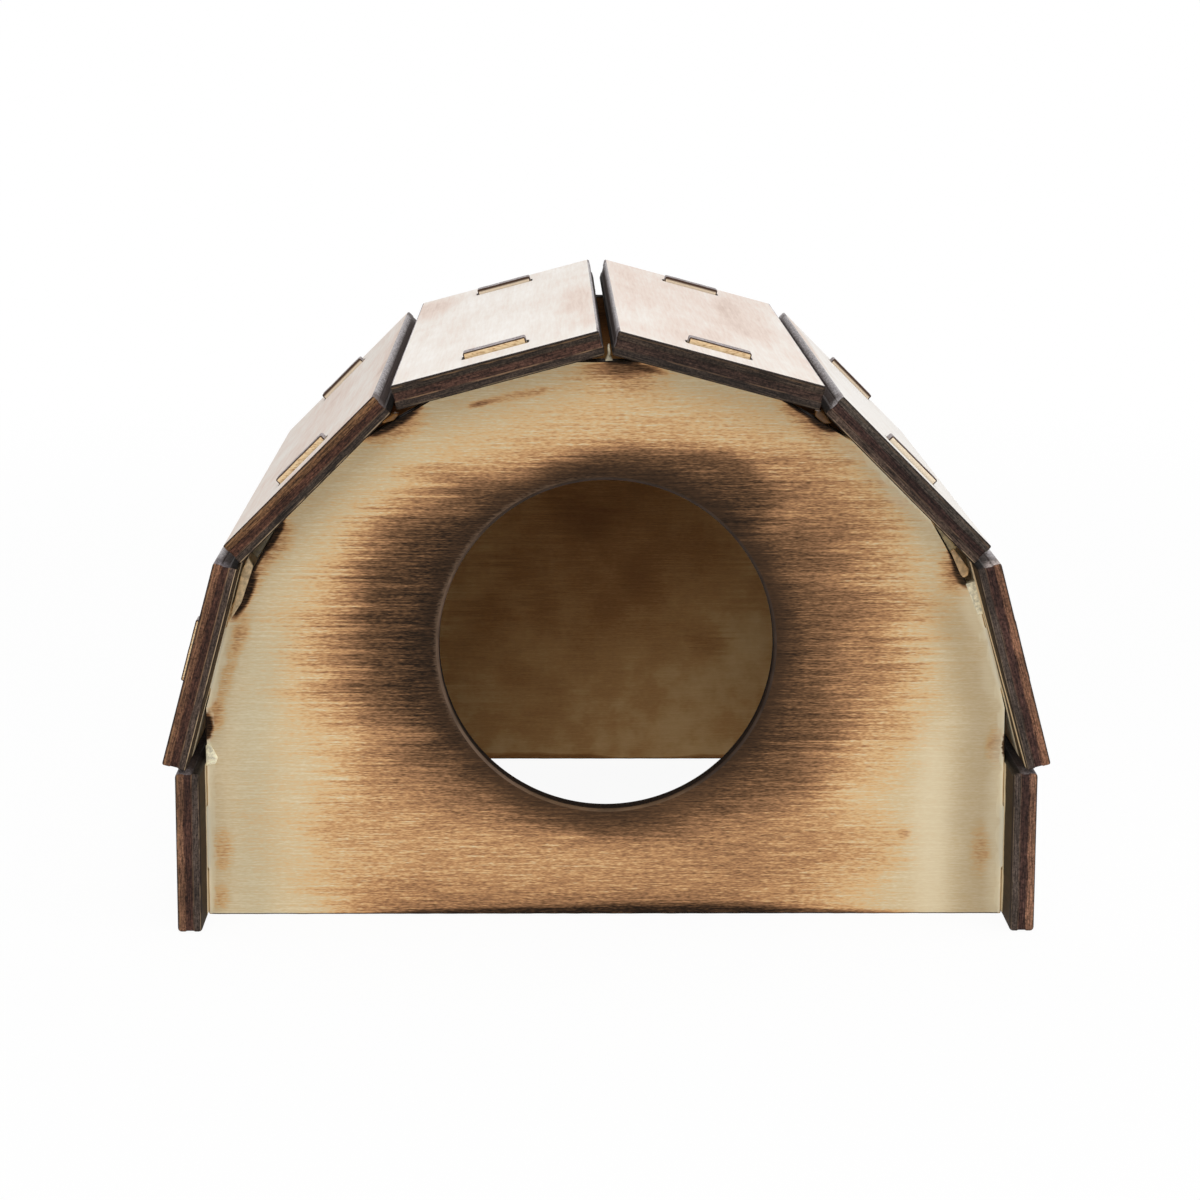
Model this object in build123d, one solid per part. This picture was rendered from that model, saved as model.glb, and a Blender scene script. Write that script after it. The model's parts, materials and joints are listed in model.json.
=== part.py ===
from build123d import *
from typing import NamedTuple
import math
import os

# A small animal house of ten flat boards, cut from one sheet of three-ply plywood and glued.
# Two end panels stand across the house. Eight slats run from front to back over them: two upright
# side slats and an arch of six roof slats. Each panel has a tenon at the middle of every slat, which
# passes through a mortise there and stands a little proud. The bottom is open.
# The front faces -Y, and the origin lies on the floor under the middle of the house. Millimetres.

# The sheet, and the joints between the boards
board_thickness = 4.0
tenon_length = 10.5  # along the width of the slat that the tenon passes through
tenon_proud = 1.0  # how far a tenon's end stands out of the slat's outer face
mortise_clearance = 0.1  # on each side of a tenon
corner_cut = 9.0  # leg of the straight cut across each roof corner of an end panel

# The slats
house_depth = 140.0  # length of every slat, from front to back
overhang = 11.0  # from a slat's end to the face of the end panel behind it
side_height = 26.5  # height of the upright side slats
arch_radius = 66.0  # from the arch's centre line to the inner faces of the slats
seam_gap = 1.1  # between the inner corners of neighbouring roof slats
eaves_gap = 0.5  # between the top of a side slat and the roof slat above it
roof_rows = ("top", "middle", "lower")  # roof slats on each side, from the ridge down

# The entrance
entrance_diameter = 55.0
entrance_height = 45.5  # its centre above the floor

# The inner faces of the roof slats lie on a regular polygon around the arch's centre line.
row_turn = 90 / len(roof_rows)
half_turn = row_turn / 2
corner_radius = arch_radius / math.cos(math.radians(half_turn))
roof_corner_count = 2 * len(roof_rows) - 1
roof_slat_width = (
    2 * arch_radius * math.tan(math.radians(half_turn)) - seam_gap / math.cos(math.radians(half_turn))
)

# The arch's centre line stands where the lowest roof slats just clear the side slats.
lowest_turn = math.radians(90 - half_turn)
lowest_corner_rise = arch_radius * math.cos(lowest_turn) - roof_slat_width / 2 * math.sin(lowest_turn)
arch_centre_height = side_height + eaves_gap - lowest_corner_rise
eaves_corner_height = arch_centre_height + arch_radius * math.tan(math.radians(half_turn / 2))

# The end panels' middle planes lie this far in front of and behind the middle of the house.
panel_offset = house_depth / 2 - overhang - board_thickness / 2


class Seat(NamedTuple):
    """Where one slat lies on the end panels, looking from the front."""

    name: str
    turn: float  # degrees from lying flat over the arch, positive towards +X
    middle: tuple  # X and Z of the middle of its inner face
    width: float


def over_arch(turn, reach):
    """X and Z of the point at a reach from the arch's centre line, turned from straight up."""
    angle = math.radians(turn)
    return reach * math.sin(angle), arch_centre_height + reach * math.cos(angle)


def slat_seats():
    """The seats of the eight slats: on each side the roof slats and, under them, the side slat."""
    seats = []
    for side, sign in (("left", -1), ("right", 1)):
        for row, row_name in enumerate(roof_rows):
            turn = sign * (row_turn * row + half_turn)
            middle = over_arch(turn, arch_radius)
            seats.append(Seat(f"{side}_{row_name}_roof_slat", turn, middle, roof_slat_width))
        middle = (sign * arch_radius, side_height / 2)
        seats.append(Seat(f"{side}_side_slat", sign * 90, middle, side_height))
    return seats


def slat(seat):
    """A slat, lying with its inner face on the panels, with a mortise over each panel's tenon."""
    angle = math.radians(seat.turn)
    inner_face = Plane(
        origin=(seat.middle[0], 0, seat.middle[1]),
        x_dir=(math.cos(angle), 0, -math.sin(angle)),
        z_dir=(math.sin(angle), 0, math.cos(angle)),
    )
    with BuildPart() as board:
        with BuildSketch(inner_face):
            Rectangle(seat.width, house_depth)
            with Locations((0, -panel_offset), (0, panel_offset)):
                Rectangle(
                    tenon_length + 2 * mortise_clearance,
                    board_thickness + 2 * mortise_clearance,
                    mode=Mode.SUBTRACT,
                )
        extrude(amount=board_thickness)
    return board.part


def end_panel(seats, middle_y, has_entrance):
    """An end panel: an arched outline with its roof corners cut off, a tenon at every seat and,
    at the front, the round entrance."""
    roof_corners = [
        over_arch(row_turn * step, corner_radius)
        for step in range(1 - len(roof_rows), len(roof_rows))
    ]
    left_edge = [(-arch_radius, 0), (-arch_radius, eaves_corner_height)]
    right_edge = [(arch_radius, eaves_corner_height), (arch_radius, 0)]
    with BuildPart() as panel:
        with BuildSketch(Plane(origin=(0, middle_y, 0), x_dir=(1, 0, 0), z_dir=(0, -1, 0))) as outline:
            with BuildLine():
                Polyline(*left_edge, *roof_corners, *right_edge, close=True)
            make_face()
            chamfer(outline.vertices().sort_by(Axis.Y)[-roof_corner_count:], corner_cut)
            # Each tenon is drawn across the panel's edge, so that its inner half lies in the panel.
            for seat in seats:
                with Locations(Location(seat.middle, -seat.turn)):
                    Rectangle(tenon_length, 2 * (board_thickness + tenon_proud))
            if has_entrance:
                with Locations((0, entrance_height)):
                    Circle(entrance_diameter / 2, mode=Mode.SUBTRACT)
        extrude(amount=board_thickness / 2, both=True)
    return panel.part


seats = slat_seats()
boards = {seat.name: slat(seat) for seat in seats}
boards["front_panel"] = end_panel(seats, -panel_offset, has_entrance=True)
boards["back_panel"] = end_panel(seats, panel_offset, has_entrance=False)

os.makedirs("parts", exist_ok=True)
for name, board in boards.items():
    export_step(board, os.path.join("parts", f"{name}.step"))
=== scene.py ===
import bmesh
import bpy
import json
import math
from mathutils import Matrix, Vector


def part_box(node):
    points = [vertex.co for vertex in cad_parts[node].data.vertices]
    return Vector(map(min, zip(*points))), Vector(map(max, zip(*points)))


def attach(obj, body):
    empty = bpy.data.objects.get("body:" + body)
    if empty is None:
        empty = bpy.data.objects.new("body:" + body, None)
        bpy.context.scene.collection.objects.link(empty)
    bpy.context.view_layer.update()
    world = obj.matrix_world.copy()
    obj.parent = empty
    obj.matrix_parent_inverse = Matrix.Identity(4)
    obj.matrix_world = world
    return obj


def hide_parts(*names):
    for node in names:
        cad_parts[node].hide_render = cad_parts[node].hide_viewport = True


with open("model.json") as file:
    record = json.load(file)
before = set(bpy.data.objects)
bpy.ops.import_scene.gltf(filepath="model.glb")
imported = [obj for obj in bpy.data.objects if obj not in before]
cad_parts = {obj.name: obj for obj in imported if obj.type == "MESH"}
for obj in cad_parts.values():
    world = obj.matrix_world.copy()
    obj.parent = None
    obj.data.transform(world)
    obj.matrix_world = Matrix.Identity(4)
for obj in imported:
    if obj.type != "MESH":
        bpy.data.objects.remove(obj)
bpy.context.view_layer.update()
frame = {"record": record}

# Front panel
# The arched end board with the round entrance, laser-cut from three-ply sheet and toasted with a flame
# round the hole. A tenon in the middle of each edge passes through a slat. The roof corners are cut off.
mm = 0.001
front_low, front_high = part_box("front_panel")
side_low, side_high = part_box("right_side_slat")
entrance_mount = next(mount for mount in frame["record"]["mounts"] if mount["name"] == "entrance")
entrance_radius = entrance_mount["dims"]["r_mm"] * mm
entrance_height = entrance_mount["pos_m"][2]
board_thickness = front_high.y - front_low.y
arch_radius = side_low.x  # from the arch's centre line to the slats' inner faces
side_height = side_high.z
house_depth = side_high.y - side_low.y
tenon_length = 10.5 * mm
tenon_proud = 1.0 * mm
corner_cut = 9.0 * mm
seam_gap = 1.1 * mm
eaves_gap = 0.5 * mm
rows_per_side = 3
ply_count = 3
ply_step = 0.12 * mm  # how far the middle ply is burnt back
edge_step = 0.6 * mm  # between the points of a cut edge
edge_wear = 0.12 * mm
edge_wear_scale = 400.0
panel_easing = (0.2 * mm, 0.3 * mm)  # radius of its arrises and of its corners
entrance_arris_round = 0.5 * mm
corner_facets = 4
entrance_facets = 240
weld_distance = 0.005 * mm
sharp_angle = math.radians(10)

row_turn = math.radians(90 / rows_per_side)
half_turn = row_turn / 2
corner_radius = arch_radius / math.cos(half_turn)
cut_reach = corner_radius - corner_cut * math.sin(half_turn)
roof_slat_width = 2 * arch_radius * math.tan(half_turn) - seam_gap / math.cos(half_turn)
lowest_turn = math.pi / 2 - half_turn
lowest_corner_rise = arch_radius * math.cos(lowest_turn) - roof_slat_width / 2 * math.sin(lowest_turn)
arch_centre_height = side_height + eaves_gap - lowest_corner_rise
eaves_corner_height = arch_centre_height + arch_radius * math.tan(half_turn / 2)


def wire(tree, kind, inputs=(), output=0, **settings):
    """Adds a node with its settings, and gives its inputs numbers or links, by place or by name."""
    made = tree.nodes.new(kind)
    for setting, choice in settings.items():
        setattr(made, setting, choice)
    open_inputs = [socket for socket in made.inputs if socket.enabled]
    by_name = {socket.name: socket for socket in reversed(open_inputs)}
    pairs = inputs.items() if isinstance(inputs, dict) else enumerate(inputs)
    for place, given in pairs:
        socket = by_name[place] if isinstance(place, str) else open_inputs[place]
        if isinstance(given, bpy.types.NodeSocket):
            tree.links.new(given, socket)
        elif given is not None:
            socket.default_value = given
    return [socket for socket in made.outputs if socket.enabled][output]


def maths(tree, operation, *values):
    return wire(tree, "ShaderNodeMath", values, operation=operation)


def vector_maths(tree, operation, *values):
    return wire(tree, "ShaderNodeVectorMath", values, operation=operation)


def swept_edge(tree, curve, profile, arris):
    """The cut edge swept along an outline, and the same outline set in to where the flat faces begin."""
    upright = wire(tree, "GeometryNodeSetCurveNormal", [curve], mode="Z_UP")
    edge = wire(tree, "GeometryNodeCurveToMesh", {"Curve": upright, "Profile Curve": profile})
    inwards = vector_maths(tree, "SCALE", wire(tree, "GeometryNodeInputNormal"), arris)
    inset = wire(tree, "GeometryNodeSetPosition", {"Geometry": upright, "Offset": inwards})
    return edge, inset


def board_tree():
    """A plywood board made from its flat outline: eased corners, a cut edge of three plies, two faces."""
    tree = bpy.data.node_groups.new("plywood board", "GeometryNodeTree")
    for name, kind in (
        ("Outline", "Geometry"),
        ("Thickness", "Float"),
        ("Corner round", "Float"),
        ("Edge step", "Float"),
        ("Edge wear", "Float"),
        ("Arris", "Float"),
        ("Edge profile", "Object"),
        ("Has entrance", "Bool"),
        ("Entrance radius", "Float"),
        ("Entrance height", "Float"),
        ("Entrance arris", "Float"),
        ("Entrance profile", "Object"),
        ("Grain shift", "Vector"),
        ("Seat", "Vector"),
        ("Turn", "Rotation"),
        ("Face wood", "Material"),
        ("Edge char", "Material"),
    ):
        tree.interface.new_socket(name, in_out="INPUT", socket_type=f"NodeSocket{kind}")
    tree.interface.new_socket("Board", in_out="OUTPUT", socket_type="NodeSocketGeometry")
    given = {socket.name: socket for socket in tree.nodes.new("NodeGroupInput").outputs}
    position = wire(tree, "GeometryNodeInputPosition")

    # The outline, with its corners eased and its straight runs divided
    eased = wire(
        tree, "GeometryNodeFilletCurve",
        {
            "Curve": given["Outline"],
            "Count": corner_facets,
            "Radius": given["Corner round"],
            "Limit Radius": True,
        },
        mode="POLY",
    )
    next_point = wire(tree, "GeometryNodeOffsetPointInCurve", {"Offset": 1}, output=1)
    next_position = wire(
        tree, "GeometryNodeFieldAtIndex",
        {"Value": position, "Index": next_point}, data_type="FLOAT_VECTOR",
    )
    run = vector_maths(tree, "DISTANCE", position, next_position)
    cuts = maths(tree, "FLOOR", maths(tree, "DIVIDE", run, given["Edge step"]))
    divided = wire(tree, "GeometryNodeSubdivideCurve", {"Curve": eased, "Cuts": cuts})
    shifted = vector_maths(tree, "ADD", position, given["Grain shift"])
    ragged = wire(
        tree, "ShaderNodeTexNoise", {"Vector": shifted, "Scale": edge_wear_scale, "Detail": 2.0}, output=1
    )
    centred = vector_maths(tree, "SUBTRACT", ragged, (0.5, 0.5, 0.5))
    wear = vector_maths(tree, "SCALE", centred, given["Edge wear"])
    flat_wear = vector_maths(tree, "MULTIPLY", wear, (1.0, 1.0, 0.0))
    worn = wire(tree, "GeometryNodeSetPosition", {"Geometry": divided, "Offset": flat_wear})

    # The cut edges, then the two faces between them
    edge_profile = wire(tree, "GeometryNodeObjectInfo", {"Object": given["Edge profile"]}, output=4)
    outer_edge, outer_inset = swept_edge(tree, worn, edge_profile, given["Arris"])
    circle = wire(
        tree, "GeometryNodeCurvePrimitiveCircle",
        {"Resolution": entrance_facets, "Radius": given["Entrance radius"]},
    )
    raised = wire(tree, "ShaderNodeCombineXYZ", {"Y": given["Entrance height"]})
    hole = wire(tree, "GeometryNodeTransform", {"Geometry": circle, "Translation": raised})
    hole_profile = wire(tree, "GeometryNodeObjectInfo", {"Object": given["Entrance profile"]}, output=4)
    hole_edge, hole_inset = swept_edge(tree, hole, hole_profile, given["Entrance arris"])
    edges = tree.nodes.new("GeometryNodeJoinGeometry")
    insets = tree.nodes.new("GeometryNodeJoinGeometry")
    for joined, always, sometimes in ((edges, outer_edge, hole_edge), (insets, outer_inset, hole_inset)):
        chosen = wire(
            tree, "GeometryNodeSwitch",
            {"Switch": given["Has entrance"], "True": sometimes}, input_type="GEOMETRY",
        )
        tree.links.new(always, joined.inputs[0])
        tree.links.new(chosen, joined.inputs[0])
    inner_face = wire(tree, "GeometryNodeFillCurve", {"Curve": insets.outputs[0]}, mode="TRIANGLES")
    rise = wire(tree, "ShaderNodeCombineXYZ", {"Z": given["Thickness"]})
    outer_face = wire(tree, "GeometryNodeTransform", {"Geometry": inner_face, "Translation": rise})
    marked_edges = wire(
        tree, "GeometryNodeStoreNamedAttribute",
        {"Geometry": edges.outputs[0], "Name": "cut_edge", "Value": True},
        data_type="BOOLEAN", domain="FACE",
    )
    board = tree.nodes.new("GeometryNodeJoinGeometry")
    for part in (marked_edges, wire(tree, "GeometryNodeFlipFaces", [inner_face]), outer_face):
        tree.links.new(part, board.inputs[0])
    placed = wire(
        tree, "GeometryNodeMergeByDistance", {"Geometry": board.outputs[0], "Distance": weld_distance}
    )

    # The flat coordinates that the grain and the burns follow, then the board's place in the house
    for name, value in (("board", position), ("grain", shifted)):
        placed = wire(
            tree, "GeometryNodeStoreNamedAttribute",
            {"Geometry": placed, "Name": name, "Value": value}, data_type="FLOAT_VECTOR", domain="POINT",
        )
    placed = wire(
        tree, "GeometryNodeTransform",
        {"Geometry": placed, "Translation": given["Seat"], "Rotation": given["Turn"]},
    )
    cut = wire(tree, "GeometryNodeInputNamedAttribute", {"Name": "cut_edge"}, data_type="BOOLEAN")
    solid = wire(tree, "GeometryNodeRealizeInstances", [placed])
    faced = wire(tree, "GeometryNodeSetMaterial", {"Geometry": solid, "Material": given["Face wood"]})
    charred = wire(
        tree, "GeometryNodeSetMaterial",
        {"Geometry": faced, "Selection": cut, "Material": given["Edge char"]},
    )
    tree.links.new(charred, tree.nodes.new("NodeGroupOutput").inputs["Board"])
    return tree


def put_in_scene(name, data):
    """A new object at the origin."""
    made = bpy.data.objects.new(name, data)
    bpy.context.scene.collection.objects.link(made)
    return made


def flat_curve(name, outlines, closed=True):
    """A curve object of straight runs through flat points."""
    curve = bpy.data.curves.new(name, "CURVE")
    curve.dimensions = "3D"
    for outline in outlines:
        run = curve.splines.new("POLY")
        run.points.add(len(outline) - 1)
        for point, (x, y) in zip(run.points, outline):
            point.co = (x, y, 0.0, 1.0)
        run.use_cyclic_u = closed
    return put_in_scene(name, curve)


def edge_section(arris):
    """A cut edge's section, from the inner face to the outer: eased arrises, the middle ply burnt back."""
    eased = [math.radians(angle) for angle in (0, 30, 60, 90)]
    ply = board_thickness / ply_count
    lower = [(arris * (1 - math.sin(angle)), arris * (1 - math.cos(angle))) for angle in eased]
    lower += [(0.0, ply - ply_step), (ply_step, ply + ply_step)]
    upper = [(inwards, board_thickness - depth) for inwards, depth in reversed(lower)]
    section = [(inwards, -depth) for inwards, depth in lower + upper]
    return flat_curve("edge_section", [section], closed=False)


plywood_board = board_tree()


def cut_board(name, outlines, node, seat, turn, grain_shift, easing, woods, has_entrance=False):
    """Cuts one board, puts it in its place and lets it stand for its CAD node."""
    arris_round, corner_round = easing
    face_wood, edge_char = woods
    drawn = flat_curve(name + "_outline", outlines)
    edge_profile = edge_section(arris_round)
    entrance_profile = edge_section(entrance_arris_round)
    modifier = drawn.modifiers.new("plywood board", "NODES")
    modifier.node_group = plywood_board
    values = {
        "Thickness": board_thickness,
        "Corner round": corner_round,
        "Edge step": edge_step,
        "Edge wear": edge_wear,
        "Arris": arris_round,
        "Edge profile": edge_profile,
        "Has entrance": has_entrance,
        "Entrance radius": entrance_radius,
        "Entrance height": entrance_height,
        "Entrance arris": entrance_arris_round,
        "Entrance profile": entrance_profile,
        "Grain shift": grain_shift,
        "Seat": seat,
        "Turn": turn,
        "Face wood": face_wood,
        "Edge char": edge_char,
    }
    for socket in plywood_board.interface.items_tree:
        if socket.in_out == "INPUT" and socket.name in values:
            modifier[socket.identifier] = values[socket.name]
    evaluated = drawn.evaluated_get(bpy.context.evaluated_depsgraph_get())
    mesh = bpy.data.meshes.new_from_object(evaluated)
    mesh.name = name
    mesh.shade_smooth()
    mesh.set_sharp_from_angle(angle=sharp_angle)
    drawn.modifiers.remove(modifier)
    for drawing in (drawn, edge_profile, entrance_profile):
        bpy.data.objects.remove(drawing)
    board = put_in_scene(name, mesh)
    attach(board, "root")
    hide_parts(node)
    return board


def over_arch(turn, reach):
    """The place at a reach from the arch's centre line, turned from straight up."""
    return reach * math.sin(turn), arch_centre_height + reach * math.cos(turn)


def edge_with_tenon(start, end, middle):
    """The points along one straight edge of a panel, out round the tenon at its middle, to its end."""
    length = math.dist(start, end)
    along = ((end[0] - start[0]) / length, (end[1] - start[1]) / length)
    outwards = (-along[1], along[0])
    reach = board_thickness + tenon_proud
    points = [start]
    for share, out in ((-0.5, 0), (-0.5, reach), (0.5, reach), (0.5, 0)):
        points.append(tuple(
            middle[axis] + share * tenon_length * along[axis] + out * outwards[axis] for axis in (0, 1)
        ))
    return points + [end]


def panel_outline():
    """An end panel's outline, from the left foot over the arch to the right foot."""
    turns = [row_turn * step for step in range(1 - rows_per_side, rows_per_side)]
    corners = [over_arch(turn, corner_radius) for turn in turns]
    eaves = [(-arch_radius, eaves_corner_height), (arch_radius, eaves_corner_height)]
    ends = [eaves[0], *corners, eaves[1]]
    points = edge_with_tenon((-arch_radius, 0.0), eaves[0], (-arch_radius, side_height / 2))
    for row in range(2 * rows_per_side):
        start, end = ends[row], ends[row + 1]
        length = math.dist(start, end)
        first_cut = corner_cut / length if row > 0 else 0.0
        last_cut = corner_cut / length if row < 2 * rows_per_side - 1 else 0.0
        run = [
            tuple(start[axis] + share * (end[axis] - start[axis]) for axis in (0, 1))
            for share in (first_cut, 1 - last_cut)
        ]
        middle = over_arch(row_turn * (row - rows_per_side) + half_turn, arch_radius)
        points += edge_with_tenon(*run, middle)[0 if row else 1:]
    points += edge_with_tenon(eaves[1], (arch_radius, 0.0), (arch_radius, side_height / 2))[1:]
    return points


def seen(red, green, blue):
    """A colour as it is seen, from 0 to 255, made linear for a shader."""
    shares = [value / 255 for value in (red, green, blue)]
    return tuple(s / 12.92 if s <= 0.04045 else ((s + 0.055) / 1.055) ** 2.4 for s in shares) + (1.0,)


def new_material(name):
    material = bpy.data.materials.new(name)
    material.use_nodes = True
    material.node_tree.nodes.clear()
    return material, material.node_tree


def flat_place(tree, attribute):
    """A board's flat coordinates in millimetres, read from an attribute of its mesh."""
    stored = wire(tree, "ShaderNodeAttribute", output=1, attribute_name=attribute)
    return vector_maths(tree, "SCALE", stored, 1 / mm)


def new_wood(name):
    """A material, its tree, the flat coordinates of a place on a board, and that place in the grain."""
    material, tree = new_material(name)
    parted = tree.nodes.new("ShaderNodeSeparateXYZ")
    tree.links.new(flat_place(tree, "board"), parted.inputs[0])
    return material, tree, parted.outputs, flat_place(tree, "grain")


def streaks(tree, place, size, detail, roughness):
    """Noise drawn out along the grain, its size given in millimetres along each axis of the board."""
    stretched = vector_maths(tree, "DIVIDE", place, size)
    return wire(
        tree, "ShaderNodeTexNoise",
        {"Vector": stretched, "Scale": 1.0, "Detail": detail, "Roughness": roughness},
    )


def flat(tree, across, up):
    """A place on a board from its coordinates."""
    return wire(tree, "ShaderNodeCombineXYZ", [across, up, 0.0])


def times(tree, first, second):
    return maths(tree, "MULTIPLY", first, second)


def away_from(tree, value, middle):
    """How far a value lies from a middle, to either side."""
    return maths(tree, "ABSOLUTE", maths(tree, "SUBTRACT", value, middle))


def swing(tree, noise, reach, start=0.0):
    """A noise turned into a push to either side of a start."""
    return maths(tree, "MULTIPLY_ADD", maths(tree, "SUBTRACT", noise, 0.5), reach, start)


def spread(tree, value, low, high, to_low=0.0, to_high=1.0, shape="SMOOTHSTEP"):
    """A value's way from low to high, turned into a smooth way from one number to another."""
    return wire(
        tree, "ShaderNodeMapRange", [value, low, high, to_low, to_high], interpolation_type=shape
    )


def mixed(tree, share, first, second, blend="MIX"):
    return wire(
        tree, "ShaderNodeMix", {"Factor": share, "A": first, "B": second},
        data_type="RGBA", blend_type=blend,
    )


def shaded(tree, colour, shade):
    """A colour made lighter or darker by a factor."""
    return mixed(tree, 1.0, colour, wire(tree, "ShaderNodeCombineXYZ", [shade, shade, shade]), "MULTIPLY")


def ramp(tree, value, stops):
    """A colour for each level of a value."""
    made = tree.nodes.new("ShaderNodeValToRGB")
    tree.links.new(value, made.inputs[0])
    elements = made.color_ramp.elements
    while len(elements) < len(stops):
        elements.new(0.5)
    for element, (level, colour) in zip(elements, stops):
        element.position = level
        element.color = seen(*colour)
    return made.outputs[0]


def finish_surface(tree, material, colour, roughness, height, depth, gloss):
    """Joins a colour, a roughness and a relief in one surface."""
    relief = wire(tree, "ShaderNodeBump", {"Strength": 0.6, "Distance": depth, "Height": height})
    surface = wire(
        tree, "ShaderNodeBsdfPrincipled",
        {"Base Color": colour, "Roughness": roughness, "Normal": relief, "Specular IOR Level": gloss},
    )
    output = tree.nodes.new("ShaderNodeOutputMaterial")
    tree.links.new(surface, output.inputs["Surface"])
    return material


def unburnt_by(tree, unburnt, place, marks):
    """What is left unburnt after some marks: middle, half sizes, strength, soft share and turn."""
    for across, up, half_width, half_height, strength, soft, *turn in marks:
        offset = vector_maths(tree, "SUBTRACT", place, (across, up, 0.0))
        if turn:
            offset = wire(
                tree, "ShaderNodeVectorRotate",
                {"Vector": offset, "Angle": turn[0]}, rotation_type="Z_AXIS",
            )
        shared = vector_maths(tree, "DIVIDE", offset, (half_width, half_height, 1.0))
        reach = vector_maths(tree, "LENGTH", shared)
        kept = spread(tree, reach, 1 - soft, 1.0, 1 - strength, 1.0)
        unburnt = times(tree, unburnt, kept)
    return unburnt


def rim_distance(tree, across, up):
    """How far a place on the panel lies from the entrance's rim."""
    out = vector_maths(tree, "DISTANCE", flat(tree, across, up), (0.0, entrance_height / mm, 0.0))
    return maths(tree, "SUBTRACT", out, entrance_radius / mm)


def slat_distance(tree, across, up):
    """How far a place on a panel lies inside the slats' inner faces, below zero on the tenons."""
    rise = maths(tree, "SUBTRACT", up, arch_centre_height / mm)
    turn = maths(tree, "ABSOLUTE", maths(tree, "ARCTAN2", across, rise))
    off_middle = maths(tree, "SUBTRACT", maths(tree, "PINGPONG", turn, row_turn), half_turn)
    reach = vector_maths(tree, "LENGTH", flat(tree, across, rise))
    under_roof = times(tree, reach, maths(tree, "COSINE", off_middle))
    under_roof = times(tree, under_roof, maths(tree, "GREATER_THAN", rise, 0.0))
    out = maths(tree, "MAXIMUM", under_roof, maths(tree, "ABSOLUTE", across))
    return maths(tree, "SUBTRACT", arch_radius / mm, out)


# The wood's colour at each level of toasting, on the outer face and on the inner one
toast_colours = (
    (0.00, (224, 208, 175)),
    (0.10, (212, 191, 152)),
    (0.20, (218, 180, 130)),
    (0.30, (200, 155, 108)),
    (0.42, (178, 133, 92)),
    (0.55, (148, 109, 77)),
    (0.70, (109, 79, 54)),
    (0.85, (70, 50, 34)),
    (1.00, (34, 24, 16)),
)
inner_colours = (
    (0.00, (232, 198, 144)),
    (0.20, (200, 154, 100)),
    (0.40, (170, 122, 74)),
    (0.65, (134, 91, 52)),
    (1.00, (42, 29, 18)),
)
# Burn marks, in millimetres: middle across and up, half width, half height, strength, soft share of the
# reach, and turn. Toasts are frayed along the grain, and chars are sharper.
front_toasts = (
    (0, 42, 64, 56, 0.12, 0.35),
    (-1, 8, 51, 22, 0.24, 0.5),
    (-3, 45, 56, 36, 0.34, 0.45),
    (-4, 46, 46, 34, 0.5, 0.32),
    (-2, 47, 34, 32, 0.4, 0.2),
    (-32, 52, 14, 22, 0.45, 0.7),
    (-23, 63, 18, 15, 0.3, 0.8),
    (-28, 22, 16, 11, 0.2, 0.8),
    (-34, 3, 20, 7, 0.24, 0.8),
    (38, 46, 20, 32, 0.33, 0.8),
    (26, 26, 16, 13, 0.58, 0.75),
    (30, 67, 24, 13, 0.34, 0.75),
    (8, 70.6, 25, 10.3, 0.6, 0.4),
    (10, 76, 42, 14, 0.14, 0.8),
    (2, 15.5, 22, 5.5, 0.44, 0.8),
    (26, 11, 31, 11, 0.18, 0.75),
    (4, 1, 56, 7, 0.14, 0.8),
    (-36, 25, 10, 8, 0.14, 0.8),
    (-25, 73, 12, 5, 0.18, 0.8),
    (35, 34, 9, 9, 0.3, 0.8),
    (30, 75, 14, 7, 0.12, 0.8),
    (18, 19, 8, 4, 0.34, 0.8),
    (-56, 14, 7, 18, 0.07, 0.9),
    (-30, 43, 5, 15, 0.46, 0.8),
    (-27, 31, 5, 6, 0.42, 0.8),
    (-22, 71, 6, 4, 0.2, 0.8),
    (-42, 16, 12, 11, 0.16, 0.8),
    (-46, 8, 10, 10, 0.08, 0.9),
    (38, 52, 6, 12, 0.1, 0.8),
    (33, 62, 7, 7, 0.16, 0.8),
    (2, 89, 12, 4, 0.24, 0.9),
    (45, 10, 8, 10, 0.08, 0.9),
    (46, 42, 7, 10, 0.08, 0.9),
)
front_chars = (
    (2.7, 91.2, 9, 2.2, 0.5, 0.9),
    (5.5, 91.5, 5, 0.9, 0.65, 0.8, 0.26),
    (-53.8, 64.8, 2.8, 1.2, 0.9, 0.6, -1.05),
    (-59.3, 54.0, 5.6, 1.5, 0.97, 0.5, -1.12),
    (-65.7, 32.0, 1.3, 3.3, 0.97, 0.6),
    (-64.3, 34, 2.2, 4, 0.26, 0.9),
    (-62, 41.5, 1.8, 12, 0.16, 0.9, 0.27),
    (-59.8, 48, 2.2, 5, 0.2, 0.95, 0.2),
    (66.2, 28.8, 1.0, 3.2, 0.9, 0.6),
    (64.5, 28.5, 2.5, 4.5, 0.25, 0.8),
    (-63.5, 11, 2.6, 5.0, 0.2, 0.8),
    (-64, 3, 2.4, 3.0, 0.18, 0.8),
    (62.3, 11, 2.6, 7, 0.18, 0.9),
    (49.6, 13.8, 1.6, 1.3, 0.2, 0.8),
    (-20.5, 85.5, 3, 0.7, 0.4, 0.8, -0.25),
    (-14, 87, 11, 1.0, 0.18, 0.8, -0.2),
    (3, 0, 56, 1.5, 0.85, 0.5),
    (10, 0.3, 36, 2.3, 0.75, 0.7),
    (4, 0, 54, 5.5, 0.24, 0.8),
)
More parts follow.
